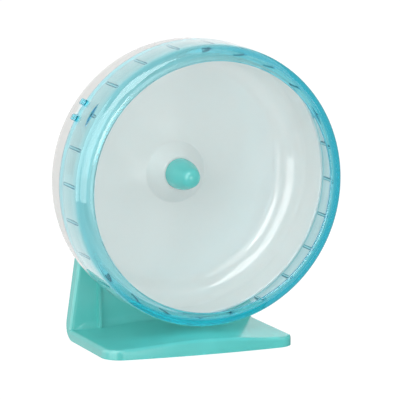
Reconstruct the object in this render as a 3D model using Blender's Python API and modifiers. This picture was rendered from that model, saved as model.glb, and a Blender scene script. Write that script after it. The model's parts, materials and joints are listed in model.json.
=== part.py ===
"""Hamster wheel on an L-shaped stand.

A round running wheel of two snapped-together mouldings, a milky dish and a clear ring, turns on two
ball bearings pressed into the dish's hub. The bearings run on a fixed bolt through the stand's upright,
and a bullet-shaped knob plugs the hub and covers the bolt's nut.

Units are metres, +Z is up and the open front faces -Y. The origin is on the ground, under the middle of
the whole object. Depths are measured backwards from the wheel's front plane.
"""
import math

import bmesh
import bpy
from mathutils import Matrix, Vector

# Overall
WHEEL_RADIUS = 0.105
GROUND_GAP = 0.0235      # between the wheel's lowest point and the ground
AXLE_HEIGHT = WHEEL_RADIUS + GROUND_GAP
MERGE = 0.000001         # points nearer than this are one
OVERRUN = 0.004          # how far a cutter runs past what it cuts
SLIP = 0.00015           # gap between pieces that seat on each other
FUSE = 0.0006            # how deep a joined feature reaches into its carrier
SHARP_ANGLE = math.radians(32)
TURN_STEPS = 56          # facets round the large mouldings
FINE_STEPS = 20          # facets round the small turned pieces
POCKET_STEPS = 8         # facets round a ball's pocket in its cage
ARC_STEPS = 5            # straight steps in a rounded corner
EDGE_STEPS = 3           # and in a small one
BALL_SEGMENTS = 8
BALL_RINGS = 6
HEXAGON = 6

# Clear ring, the front half of the wheel
LIP_REACH = 0.0115       # how far the front lip rolls in
OPENING_RADIUS = WHEEL_RADIUS - LIP_REACH
RING_DEPTH = 0.0435
RING_WALL = 0.0016
LIP_THICKNESS = 0.0024    # at the lip's beaded edge
LIP_TAPER = 0.0200       # depth at which the lip has thinned out into the wall
LIP_STEPS = 5            # straight steps in the lip's inner side
RUNG_COUNT = 24
RUNG_TURN = math.radians(12.5)
RUNG_WIDTH = 0.0024
RUNG_HEIGHT = 0.0014
RUNG_FRONT = 0.0120
RUNG_BACK = 0.0350
LATCH_RUNG_BACK = 0.0175  # where the rung in front of a latch slot ends
LATCH_COUNT = 3
LATCH_TURN = math.radians(27.5)
TOOTH_WIDTH = 0.0046
TOOTH_SPACING = 0.0132
TOOTH_HEIGHT = 0.0021
TOOTH_ROOT = 0.0055      # how far forward of the seam a tooth begins
TOOTH_REACH = 0.0035     # how far behind the seam it ends
SLOT_MIDDLE = 0.0198     # depth of the lens-shaped slot's middle
SLOT_LENGTH = 0.0190
SLOT_WIDTH = 0.0042

# Milky dish, the back half of the wheel
DISH_STEP = 0.0008       # how far the dish's shoulder stands inside the ring's wall
DISH_RADIUS = WHEEL_RADIUS - DISH_STEP
DISH_WALL = 0.0022
SPIGOT_LENGTH = 0.0060
SPIGOT_WALL = 0.0018
DISH_DRAFT = math.radians(4.0)
DISH_CORNER = 0.0220
DISH_BACK = 0.0820
FLOOR_RISE = 0.0035      # how much further forward the floor is at the hub than at its edge
BOSS_RADIUS = 0.0220
BOSS_TOP_RADIUS = 0.0190
BOSS_HEIGHT = 0.0085
BOSS_EDGE = 0.0015
HUB_WALL = 0.0034
HUB_LIP = 0.0015         # how far the front lip stands in over the bearing
HUB_LIP_LENGTH = 0.0036
TAB_WIDTH = 0.0080
TAB_HEIGHT = 0.0018
TAB_LENGTH = 0.0075

# Ball bearings, 8 x 22 x 7 mm
BEARING_BORE = 0.0040
BEARING_RADIUS = 0.0110
BEARING_WIDTH = 0.0070
BEARING_GAP = 0.0040     # length of the spacer sleeve between the two
BALL_RADIUS = 0.00195
BALL_COUNT = 7
BALL_PLAY = 0.00020      # how much wider than a ball its groove is, in radius
RACE_WALL = 0.0020       # thickness of a race beside its groove
CAGE_WALL = 0.0016
CAGE_WIDTH = 0.0054
SHIELD_THICKNESS = 0.0003
SHIELD_INSET = 0.00015   # how far a shield lies inside the bearing's face

# Bolt, nuts and washers, M8
SHANK_PLAY = 0.00012
HEAD_FLATS = 0.0130
HEAD_HEIGHT = 0.0053
LOCK_NUT_HEIGHT = 0.0065
THIN_NUT_HEIGHT = 0.0045
BOLT_TAIL = 0.0030       # thread left proud of the lock nut
INNER_WASHER_RADIUS = 0.0060
INNER_WASHER_THICKNESS = 0.0012
HEAD_WASHER_RADIUS = 0.0085
HEAD_WASHER_THICKNESS = 0.0016

# Knob
KNOB_RADIUS = 0.0116
KNOB_NOSE_RADIUS = 0.0062
KNOB_LENGTH = 0.0272
KNOB_STRAIGHT = 0.0030
KNOB_PLUG_LENGTH = 0.0022
KNOB_WALL = 0.0013       # wall of the plug
KNOB_CORE_RADIUS = 0.0034
KNOB_CORE_START = 0.0070  # where the hollow ends, behind the tip
KNOB_SWELL_SHARE = 0.10  # how far the taper bows out, as a share of its growth

# Stand
STAND_HALF_FRONT = 0.0755
STAND_DRAW_IN = 0.0013   # how much narrower each side is at the back
STAND_HALF_BACK = STAND_HALF_FRONT - STAND_DRAW_IN
STAND_FRONT = 0.0220     # depth of the base's front edge at its corners
STAND_BULGE = 0.0045     # how far the front edge bows forward in the middle
STAND_CORNER = 0.0150
BASE_EDGE_HEIGHT = 0.0076
BASE_CROWN = 0.0040
UPRIGHT_FRONT = 0.1050
UPRIGHT_THICKNESS = 0.0100
UPRIGHT_FOOT_STEP = 0.0002  # how far the upright's foot stands inside the base's sides
UPRIGHT_HALF_FOOT = STAND_HALF_BACK - UPRIGHT_FOOT_STEP
UPRIGHT_LEAN = math.radians(8.2)
UPRIGHT_RISE = 0.0300    # top of the upright above the axle
UPRIGHT_TOP_CORNER = 0.0280
HEEL_RADIUS = 0.0150
INNER_FILLET = 0.0050
STAND_EDGE = 0.0028
EDGE_FADE_SHARE = 0.9    # how much of the front rounding is gone where the side's rounding ends
STAND_WALL = 0.0026
BOW_SHARES = (-3 / 4, -1 / 2, -1 / 4, 0, 1 / 4, 1 / 2, 3 / 4)
CORNER_ANGLES = (0, 18, 36, 54, 70, 80, 90)
FILLET_FADE = 0.0080     # width beside the upright's foot over which its fillet runs out
WEB_THICKNESS = 0.0020
WEB_PAIRS = 3
END_BAY = 0.0155         # from the last web's middle to the base's side
WEB_PITCH = (STAND_HALF_FRONT - END_BAY) / WEB_PAIRS
GUSSET_INSET = 0.0230    # from the upright's foot corner to the gusset beside it
GUSSET_OFFSET = UPRIGHT_HALF_FOOT - GUSSET_INSET
GUSSET_THICKNESS = 0.0020
GUSSET_DEPTH = 0.0048
GUSSET_HEIGHT = 0.0700
HOUSING_RADIUS = 0.0150
HOUSING_FOOT_RADIUS = 0.0190
HEAD_POCKET_RADIUS = 0.0105
HEAD_RECESS = 0.0005     # how far the bolt's head stays below the upright's back

# Depths of the stack on the bolt, front to back
STAND_BACK = UPRIGHT_FRONT + UPRIGHT_THICKNESS
FLOOR_DEPTH = DISH_BACK - DISH_WALL - FLOOR_RISE
HUB_FRONT = FLOOR_DEPTH - BOSS_HEIGHT
FRONT_BEARING = HUB_FRONT + HUB_LIP_LENGTH + SLIP
SPACER_FRONT = FRONT_BEARING + BEARING_WIDTH + SLIP
REAR_BEARING = SPACER_FRONT + BEARING_GAP + SLIP
HUB_BACK = REAR_BEARING + BEARING_WIDTH
REAR_WASHER = HUB_BACK + SLIP
THIN_NUT = REAR_WASHER + INNER_WASHER_THICKNESS + SLIP
HOUSING_FRONT = THIN_NUT + THIN_NUT_HEIGHT + SLIP
FRONT_WASHER = FRONT_BEARING - SLIP - INNER_WASHER_THICKNESS
LOCK_NUT = FRONT_WASHER - SLIP - LOCK_NUT_HEIGHT
BOLT_TIP = LOCK_NUT - BOLT_TAIL
HEAD_SEAT = STAND_BACK - HEAD_RECESS - HEAD_HEIGHT
HEAD_WASHER = HEAD_SEAT - SLIP - HEAD_WASHER_THICKNESS
HOUSING_SEAT = HEAD_WASHER - SLIP
SHANK_RADIUS = BEARING_BORE - SHANK_PLAY
PITCH_RADIUS = (BEARING_BORE + BEARING_RADIUS) / 2

FRONT_Y = -STAND_BACK / 2


def clear_scene():
    for obj in list(bpy.data.objects):
        bpy.data.objects.remove(obj, do_unlink=True)


def new_collection(name):
    made = bpy.data.collections.new(name)
    bpy.context.scene.collection.children.link(made)
    return made


def material(name, colour, roughness, metallic=0.0, alpha=1.0):
    made = bpy.data.materials.new(name)
    made.use_nodes = True
    shader = made.node_tree.nodes["Principled BSDF"]
    shader.inputs["Base Color"].default_value = (*colour, 1.0)
    shader.inputs["Roughness"].default_value = roughness
    shader.inputs["Metallic"].default_value = metallic
    shader.inputs["Alpha"].default_value = alpha
    return made


def add(name, mesh, where, finish=None):
    obj = bpy.data.objects.new(name, mesh)
    where.objects.link(obj)
    if finish:
        mesh.materials.append(finish)
    return obj


def add_shape(name, shape, where, finish=None):
    """Turns a bmesh into an object."""
    mesh = bpy.data.meshes.new(name)
    shape.to_mesh(mesh)
    shape.free()
    return add(name, mesh, where, finish)


def as_cutter(obj):
    obj.hide_render = True
    obj.display_type = "WIRE"
    return obj


def combine(obj, other, operation="DIFFERENCE"):
    """Adds a Boolean; the other object becomes a cutter."""
    modifier = obj.modifiers.new(operation.title(), "BOOLEAN")
    modifier.operation = operation
    modifier.object = as_cutter(other)


def evaluated_mesh(obj):
    bpy.context.view_layer.update()
    return bpy.data.meshes.new_from_object(obj.evaluated_get(bpy.context.evaluated_depsgraph_get()))


def finished(obj):
    """Applies the object's modifiers and shades it smooth between its sharp edges."""
    mesh = evaluated_mesh(obj)
    obj.modifiers.clear()
    obj.data = mesh
    mesh.shade_smooth()
    mesh.set_sharp_from_angle(angle=SHARP_ANGLE)
    return obj


def arc(centre, radius, start, end, steps=ARC_STEPS):
    """Points along an arc between two angles in degrees, both ends included."""
    points = []
    for step in range(steps + 1):
        angle = math.radians(start + (end - start) * step / steps)
        points.append((centre[0] + radius * math.cos(angle), centre[1] + radius * math.sin(angle)))
    return points


def rounded(corners, steps=ARC_STEPS):
    """An outline with rounded corners, from (point, radius) pairs in order round it."""
    outline = []
    count = len(corners)
    for index, (corner, radius) in enumerate(corners):
        corner = Vector(corner)
        if not radius:
            outline.append(tuple(corner))
            continue
        before = (Vector(corners[index - 1][0]) - corner).normalized()
        after = (Vector(corners[(index + 1) % count][0]) - corner).normalized()
        half = before.angle(after) / 2
        centre = corner + (before + after).normalized() * radius / math.sin(half)
        reach = radius / math.tan(half)
        first = corner + before * reach - centre
        last = corner + after * reach - centre
        for step in range(steps + 1):
            outline.append(tuple(centre + first.slerp(last, step / steps) * radius))
    return outline


def turned(name, profile, where, finish=None, steps=FINE_STEPS, closed=True):
    """A solid turned about the axle from a (radius, depth) profile, outer side front to back."""
    mesh = bpy.data.meshes.new(name)
    points = [(radius, 0, -depth) for radius, depth in profile]
    edges = [(index, index + 1) for index in range(len(points) - 1)]
    if closed:
        edges.append((len(points) - 1, 0))
    mesh.from_pydata(points, edges, [])
    obj = add(name, mesh, where, finish)
    obj.location = (0, FRONT_Y, AXLE_HEIGHT)
    obj.rotation_euler = (math.pi / 2, 0, 0)
    screw = obj.modifiers.new("Turn", "SCREW")
    screw.axis = "Z"
    screw.steps = screw.render_steps = steps
    screw.use_merge_vertices = True
    screw.merge_threshold = MERGE
    screw.use_smooth_shade = True
    return obj


def washer(name, bore, radius, front, thickness, where, finish):
    back = front + thickness
    profile = [(bore, front), (radius, front), (radius, back), (bore, back)]
    return finished(turned(name, profile, where, finish))


def flat_plate(name, outline, thickness, where, edge=0):
    """An outline in the XY plane as a solid centred on it, made from a filled curve."""
    curve = bpy.data.curves.new(name, "CURVE")
    curve.dimensions = "2D"
    curve.fill_mode = "BOTH"
    curve.extrude = thickness / 2 - edge
    curve.bevel_depth = edge
    curve.bevel_resolution = 1
    curve.offset = -edge
    spline = curve.splines.new("POLY")
    spline.points.add(len(outline) - 1)
    for point, place in zip(spline.points, outline):
        point.co = (*place, 0, 1)
    spline.use_cyclic_u = True
    guide = bpy.data.objects.new(name, curve)
    where.objects.link(guide)
    mesh = evaluated_mesh(guide)
    bpy.data.objects.remove(guide, do_unlink=True)
    shape = bmesh.new()
    shape.from_mesh(mesh)
    bmesh.ops.remove_doubles(shape, verts=shape.verts, dist=MERGE)
    bmesh.ops.recalc_face_normals(shape, faces=shape.faces)
    shape.to_mesh(mesh)
    shape.free()
    return add(name, mesh, where)


def front_plate(name, outline, front, back, where, edge=0):
    """An outline drawn as seen from the front, (x, z), between two depths."""
    plate = flat_plate(name, outline, back - front, where, edge)
    plate.location = (0, FRONT_Y + (front + back) / 2, 0)
    plate.rotation_euler = (math.pi / 2, 0, 0)
    return plate


def side_plate(name, outline, left, right, where):
    """An outline drawn from the side, (depth, z), between two places across."""
    plate = flat_plate(name, outline, right - left, where)
    plate.location = ((left + right) / 2, FRONT_Y, 0)
    plate.rotation_euler = (math.pi / 2, 0, math.pi / 2)
    return plate


def plan_plate(name, outline, low, high, where):
    """An outline drawn from above, (x, depth), between two heights."""
    plate = flat_plate(name, outline, high - low, where)
    plate.location = (0, FRONT_Y, (low + high) / 2)
    return plate


def axle_disc(name, radius, front, back, where, finish=None, steps=FINE_STEPS, back_radius=None):
    """A disc on the axle between two depths, or a cone if its back has another radius."""
    shape = bmesh.new()
    bmesh.ops.create_cone(shape, cap_ends=True, segments=steps, radius1=back_radius or radius,
                          radius2=radius, depth=back - front)
    obj = add_shape(name, shape, where, finish)
    obj.location = (0, FRONT_Y + (front + back) / 2, AXLE_HEIGHT)
    obj.rotation_euler = (math.pi / 2, 0, 0)
    return obj


def around(angle, radius, depth):
    """Matrix of a place on the wheel: local x points outwards, y along the rim and z forwards."""
    on_axle = Matrix.Translation((0, FRONT_Y + depth, AXLE_HEIGHT)) @ Matrix.Rotation(math.pi / 2, 4, "X")
    return on_axle @ Matrix.Rotation(angle, 4, "Z") @ Matrix.Translation((radius, 0, 0))


def latch_angles():
    return [LATCH_TURN + 2 * math.pi * index / LATCH_COUNT for index in range(LATCH_COUNT)]


def at_latch(angle):
    """Whether a latch's middle is nearer to this angle than half the spacing of the rungs."""
    return any(math.cos(angle - latch) > math.cos(math.pi / RUNG_COUNT) for latch in latch_angles())


def box_into(shape, size, matrix):
    """Adds a box of the given size to a bmesh, placed by a matrix."""
    return bmesh.ops.create_cube(shape, size=1.0, matrix=matrix @ Matrix.Diagonal((*size, 1.0)))


def soften(shape, radius):
    bmesh.ops.bevel(shape, geom=list(shape.edges), offset=radius, segments=1, affect="EDGES")


def ring_profile():
    """Thick rolled lip with a beaded edge, thinning out into a straight wall back to the seam."""
    bead = LIP_THICKNESS / 2
    centre = OPENING_RADIUS + bead
    roll = WHEEL_RADIUS - centre
    outer = arc((centre, roll), roll, -90, 0)
    wall_inside = WHEEL_RADIUS - RING_WALL
    wall = [(WHEEL_RADIUS, RING_DEPTH), (wall_inside, RING_DEPTH)]
    inner = [(centre + (wall_inside - centre) * across, LIP_TAPER + (LIP_TAPER - LIP_THICKNESS) * forward)
             for across, forward in arc((0, 0), 1, 0, -90, LIP_STEPS)]
    edge = arc((centre, bead), bead, 90, 270, ARC_STEPS - 1)
    return outer + wall + inner + edge[1:-1]


def make_ring(where, cutters, finish):
    ring = turned("clear_ring", ring_profile(), where, finish, TURN_STEPS)
    wall_inside = WHEEL_RADIUS - RING_WALL
    thick = RUNG_HEIGHT + FUSE
    rungs = bmesh.new()
    for index in range(RUNG_COUNT):
        angle = RUNG_TURN + 2 * math.pi * index / RUNG_COUNT
        length = (LATCH_RUNG_BACK if at_latch(angle) else RUNG_BACK) - RUNG_FRONT
        place = around(angle, wall_inside - RUNG_HEIGHT + thick / 2, RUNG_FRONT + length / 2)
        box_into(rungs, (thick, RUNG_WIDTH, length), place)
    combine(ring, add_shape("rungs", rungs, cutters), "UNION")

    thick = TOOTH_HEIGHT + FUSE
    length = TOOTH_ROOT + TOOTH_REACH
    teeth = bmesh.new()
    for angle in latch_angles():
        for side in (-1, 1):
            place = around(angle, WHEEL_RADIUS - FUSE + thick / 2, RING_DEPTH - TOOTH_ROOT + length / 2)
            place = place @ Matrix.Translation((0, side * TOOTH_SPACING / 2, 0))
            box_into(teeth, (thick, TOOTH_WIDTH, length), place)
    soften(teeth, TOOTH_HEIGHT / 3)
    combine(ring, add_shape("latch_teeth", teeth, cutters), "UNION")

    half = SLOT_LENGTH / 2
    bow = (half * half + SLOT_WIDTH * SLOT_WIDTH / 4) / SLOT_WIDTH
    sweep = math.degrees(math.asin(half / bow))
    lens = arc((bow - SLOT_WIDTH / 2, 0), bow, 180 - sweep, 180 + sweep)
    lens += arc((SLOT_WIDTH / 2 - bow, 0), bow, -sweep, sweep)[1:-1]
    for index, angle in enumerate(latch_angles()):
        slot = flat_plate(f"latch_slot_{index + 1}", lens, OVERRUN * 2, cutters)
        outwards = Matrix.Rotation(math.pi / 2, 4, "Y")
        slot.matrix_world = around(angle, WHEEL_RADIUS, SLOT_MIDDLE) @ outwards
        combine(ring, slot)
    return finished(ring)


def dish_profile():
    """Spigot rim, drafted wall, rounded corner, coned back with a hub tube, and the boss inside."""
    spigot = WHEEL_RADIUS - RING_WALL - 2 * SLIP
    rim = spigot - SPIGOT_WALL
    shoulder = RING_DEPTH + SLIP
    corner_depth = DISH_BACK - DISH_CORNER
    draft = math.degrees(DISH_DRAFT)
    corner_radius = DISH_RADIUS - (corner_depth - shoulder) * math.tan(DISH_DRAFT) - DISH_CORNER
    corner = (corner_radius, corner_depth)
    seat = BEARING_RADIUS + SLIP
    tube = seat + HUB_WALL
    lip_back = HUB_FRONT + HUB_LIP_LENGTH
    recess = HUB_FRONT + DISH_WALL + BOSS_EDGE
    outer = [(spigot, shoulder - SPIGOT_LENGTH), (spigot, shoulder), (DISH_RADIUS, shoulder)]
    outer += arc(corner, DISH_CORNER, draft, 90)
    hub = [(BOSS_RADIUS, FLOOR_DEPTH + DISH_WALL), (BOSS_TOP_RADIUS - DISH_WALL, recess), (tube, recess),
           (tube, HUB_BACK), (seat, HUB_BACK), (seat, lip_back), (seat - HUB_LIP, lip_back),
           (seat - HUB_LIP, HUB_FRONT)]
    boss = arc((BOSS_TOP_RADIUS - BOSS_EDGE, HUB_FRONT + BOSS_EDGE), BOSS_EDGE, -90, -15, EDGE_STEPS - 1)
    boss += [(BOSS_RADIUS, FLOOR_DEPTH - BOSS_EDGE / 2), (BOSS_RADIUS + BOSS_EDGE, FLOOR_DEPTH)]
    inside = arc(corner, DISH_CORNER - DISH_WALL, 90, draft)
    return outer + hub + boss + inside + [(rim, shoulder), (rim, shoulder - SPIGOT_LENGTH)]


def make_dish(where, cutters, finish):
    dish = turned("dish", dish_profile(), where, finish, TURN_STEPS)
    thick = TAB_HEIGHT + DISH_WALL / 2
    middle = RING_DEPTH + 3 * SLIP + TAB_LENGTH / 2
    tabs = bmesh.new()
    for angle in latch_angles():
        place = around(angle, DISH_RADIUS + TAB_HEIGHT - thick / 2, middle)
        box_into(tabs, (thick, TAB_WIDTH, TAB_LENGTH), place)
    soften(tabs, TAB_HEIGHT / 3)
    combine(dish, add_shape("latch_tabs", tabs, cutters), "UNION")
    return finished(dish)


def make_knob(where, finish):
    """Bullet-shaped cap: a short straight skirt, a long swelling taper and a round nose."""
    base = HUB_FRONT - SLIP
    plug = BEARING_RADIUS - HUB_LIP
    cavity = plug - KNOB_WALL
    tip = base - KNOB_LENGTH
    shoulder = base - KNOB_STRAIGHT
    profile = arc((0, tip + KNOB_NOSE_RADIUS), KNOB_NOSE_RADIUS, -90, -15)
    nose_radius, nose_depth = profile[-1]
    for step in range(1, ARC_STEPS):
        along = step / ARC_STEPS
        swell = along + KNOB_SWELL_SHARE * math.sin(along * math.pi)
        profile.append((nose_radius + (KNOB_RADIUS - nose_radius) * swell,
                        nose_depth + (shoulder - nose_depth) * along))
    profile += [(KNOB_RADIUS, shoulder), (KNOB_RADIUS, base), (plug, base),
                (plug, base + KNOB_PLUG_LENGTH), (cavity, base + KNOB_PLUG_LENGTH),
                (cavity, LOCK_NUT - SLIP), (KNOB_CORE_RADIUS, tip + KNOB_CORE_START),
                (0, tip + KNOB_CORE_START)]
    return finished(turned("knob", profile, where, finish, closed=False))


def race_profile(wall, land, front):
    """Section of a race: a plain wall, and a land with the ball groove in it."""
    back = front + BEARING_WIDTH
    outwards = 1 if land > PITCH_RADIUS else -1
    groove = BALL_RADIUS + BALL_PLAY
    edge = math.degrees(math.acos((abs(land - PITCH_RADIUS)) / groove))
    middle = (PITCH_RADIUS, (front + back) / 2)
    facing = 0 if outwards > 0 else 180
    bottom = arc(middle, groove, facing + edge, facing - edge, ARC_STEPS - 1)
    if outwards > 0:
        return [(wall, front), (wall, back), (land, back)] + bottom + [(land, front)]
    return [(land, front)] + bottom + [(land, back), (wall, back), (wall, front)]


def make_bearing(name, front, wheel_parts, where, cutters, steel, cage_finish):
    """A shielded ball bearing whose front face is at the given depth. Returns what orbits."""
    middle = front + BEARING_WIDTH / 2
    inner_land = BEARING_BORE + RACE_WALL
    outer_land = BEARING_RADIUS - RACE_WALL
    outer = turned(f"{name}_outer_race", race_profile(BEARING_RADIUS, outer_land, front), where, steel)
    wheel_parts.append(finished(outer))
    finished(turned(f"{name}_inner_race", race_profile(BEARING_BORE, inner_land, front), where, steel))
    for side, depth in (("front", front + SHIELD_INSET),
                        ("rear", front + BEARING_WIDTH - SHIELD_INSET - SHIELD_THICKNESS)):
        wheel_parts.append(washer(f"{name}_{side}_shield", inner_land + SLIP, outer_land - SLIP, depth,
                                  SHIELD_THICKNESS, where, steel))

    half = CAGE_WIDTH / 2
    low, high = PITCH_RADIUS - CAGE_WALL / 2, PITCH_RADIUS + CAGE_WALL / 2
    cage = turned(f"{name}_cage", [(low, middle - half), (high, middle - half), (high, middle + half),
                                   (low, middle + half)], where, cage_finish)
    orbiting = [cage]
    pockets = bmesh.new()
    for index in range(BALL_COUNT):
        place = around(2 * math.pi * (index + 1 / 2) / BALL_COUNT, PITCH_RADIUS, middle)
        bmesh.ops.create_cone(pockets, cap_ends=True, segments=POCKET_STEPS, radius1=BALL_RADIUS + SLIP,
                              radius2=BALL_RADIUS + SLIP, depth=CAGE_WALL * 2,
                              matrix=place @ Matrix.Rotation(math.pi / 2, 4, "Y"))
        shape = bmesh.new()
        bmesh.ops.create_uvsphere(shape, u_segments=BALL_SEGMENTS, v_segments=BALL_RINGS, radius=BALL_RADIUS)
        ball = add_shape(f"{name}_ball_{index + 1}", shape, where, steel)
        ball.matrix_world = place
        ball.data.shade_smooth()
        orbiting.append(ball)
    combine(cage, add_shape(f"{name}_pockets", pockets, cutters))
    finished(cage)
    return orbiting


def make_fasteners(where, cutters, steel, zinc):
    """Bolt with a hexagon head behind, and the nuts and washers that clamp the stack on it."""
    corner_radius = HEAD_FLATS / 2 / math.cos(math.pi / 6)
    bolt = axle_disc("axle_bolt", SHANK_RADIUS, BOLT_TIP, HEAD_SEAT + FUSE, where, zinc)
    head = axle_disc("bolt_head", corner_radius, HEAD_SEAT, HEAD_SEAT + HEAD_HEIGHT, cutters, steps=HEXAGON)
    combine(bolt, head, "UNION")
    finished(bolt)
    thread = BEARING_BORE
    for name, front, height in (("lock_nut", LOCK_NUT, LOCK_NUT_HEIGHT),
                                ("clamp_nut", THIN_NUT, THIN_NUT_HEIGHT)):
        nut = axle_disc(name, corner_radius, front, front + height, where, zinc, steps=HEXAGON)
        bore = axle_disc(f"{name}_bore", thread, front - OVERRUN, front + height + OVERRUN, cutters)
        combine(nut, bore)
        finished(nut)
    washer("front_washer", thread, INNER_WASHER_RADIUS, FRONT_WASHER, INNER_WASHER_THICKNESS, where, zinc)
    washer("rear_washer", thread, INNER_WASHER_RADIUS, REAR_WASHER, INNER_WASHER_THICKNESS, where, zinc)
    washer("head_washer", thread, HEAD_WASHER_RADIUS, HEAD_WASHER, HEAD_WASHER_THICKNESS, where, zinc)
    washer("spacer_sleeve", thread, BEARING_BORE + RACE_WALL, SPACER_FRONT, BEARING_GAP, where, steel)


def crown(x):
    """Height of the base's top, across the stand: arched in the middle and level beside its sides."""
    return BASE_EDGE_HEIGHT + BASE_CROWN * (1 + math.cos(math.pi * x / STAND_HALF_FRONT)) / 2


def lofted(shape, sections):
    """Skins a bmesh between outlines of equal length, [(x, [(depth, z), ...]), ...], and caps the ends."""
    rings = []
    for x, outline in sections:
        rings.append([shape.verts.new((x, FRONT_Y + depth, z)) for depth, z in outline])
    count = len(rings[0])
    for near, far in zip(rings, rings[1:]):
        for index in range(count):
            after = (index + 1) % count
            shape.faces.new((near[index], near[after], far[after], far[index]))
    shape.faces.new(reversed(rings[0]))
    shape.faces.new(rings[-1])


def bow(x):
    """Depth of the base's bowed front edge, between its corners."""
    return STAND_FRONT - STAND_BULGE * (1 - (x / STAND_HALF_FRONT) ** 2)


def base_section(x, front, drop):
    """The base's outline at one place across, with its front edge rounded and the upright's fillet."""
    height = crown(x) - drop
    edge = STAND_EDGE - drop * EDGE_FADE_SHARE
    fillet = INNER_FILLET * min(1, max(0, STAND_HALF_BACK - STAND_EDGE - abs(x)) / FILLET_FADE)
    fillet = max(fillet, FUSE)
    round_over = arc((front + edge, height - edge), edge, 180, 90, EDGE_STEPS)
    corner = arc((UPRIGHT_FRONT - fillet, height + fillet), fillet, -90, 0, EDGE_STEPS)
    back = STAND_BACK + OVERRUN
    points = [(front, -OVERRUN)] + round_over + corner
    return points + [(back, height + fillet), (back, -OVERRUN)]


def base_body():
    """The base skinned across the stand, its sides drawn in towards the back."""
    inner = STAND_HALF_FRONT - STAND_CORNER
    right = []
    for angle in CORNER_ANGLES:
        x = inner + STAND_CORNER * math.sin(math.radians(angle))
        over = max(0, x - STAND_HALF_FRONT + STAND_EDGE)
        drop = STAND_EDGE - math.sqrt(max(0, STAND_EDGE * STAND_EDGE - over * over))
        front = bow(inner) + STAND_CORNER * (1 - math.cos(math.radians(angle)))
        right.append((x, base_section(x, front, drop)))
    middle = [(inner * share, base_section(inner * share, bow(inner * share), 0)) for share in BOW_SHARES]
    left = [(-x, outline) for x, outline in reversed(right)]
    body = bmesh.new()
    lofted(body, left + middle + right)
    length = STAND_BACK - STAND_FRONT
    for vert in body.verts:
        along = (vert.co.y - FRONT_Y - STAND_FRONT) / length
        vert.co.x *= 1 - along * (1 - STAND_HALF_BACK / STAND_HALF_FRONT)
    bmesh.ops.recalc_face_normals(body, faces=body.faces)
    return body


def cavity_section(x):
    """The hollow of the L, open behind and below."""
    roof = crown(x) - STAND_WALL
    front = STAND_FRONT - STAND_BULGE - OVERRUN
    back = STAND_BACK + OVERRUN
    top = AXLE_HEIGHT + UPRIGHT_RISE + OVERRUN
    skin = UPRIGHT_FRONT + STAND_WALL
    return [(front, -OVERRUN), (back, -OVERRUN), (back, top), (skin, top), (skin, roof), (front, roof)]


def upright_corners(inset):
    """Right-hand corners of the tapering upright seen from the front, (x, z), each with its radius."""
    foot = crown(UPRIGHT_HALF_FOOT)
    top = AXLE_HEIGHT + UPRIGHT_RISE - inset
    lean = math.tan(UPRIGHT_LEAN)
    foot_half = UPRIGHT_HALF_FOOT - inset / math.cos(UPRIGHT_LEAN)
    top_half = foot_half - (top - foot) * lean
    return [((top_half, top), UPRIGHT_TOP_CORNER - inset), ((foot_half, foot), 0)]


def both_sides(corners, below):
    """A symmetric outline from its right-hand corners and the sharp points that follow them."""
    right = corners + [(point, 0) for point in below]
    left = [((-x, z), radius) for (x, z), radius in reversed(right)]
    return rounded(right + left)


def plan_outline(inset):
    """The base from above, (x, depth): bowed front edge, rounded front corners, sides drawn in behind."""
    half = STAND_HALF_FRONT - inset
    back = STAND_BACK + 2 * OVERRUN
    back_half = STAND_HALF_BACK - inset
    corner_front = bow(STAND_HALF_FRONT - STAND_CORNER) + inset
    edge = [((-half, corner_front), STAND_CORNER - inset)]
    for share in BOW_SHARES:
        x = (STAND_HALF_FRONT - STAND_CORNER) * share
        edge.append(((x, bow(x) + inset), 0))
    edge.append(((half, corner_front), STAND_CORNER - inset))
    return rounded(edge + [((back_half, back), 0), ((-back_half, back), 0)])


def heel_outline():
    """Side view of the stand's true back, foot and heel, (depth, z)."""
    front = -OVERRUN
    top = AXLE_HEIGHT + UPRIGHT_RISE + OVERRUN
    heel = arc((STAND_BACK - HEEL_RADIUS, HEEL_RADIUS), HEEL_RADIUS, -90, 0)
    return [(front, 0)] + heel + [(STAND_BACK, top), (front, top)]


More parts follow.
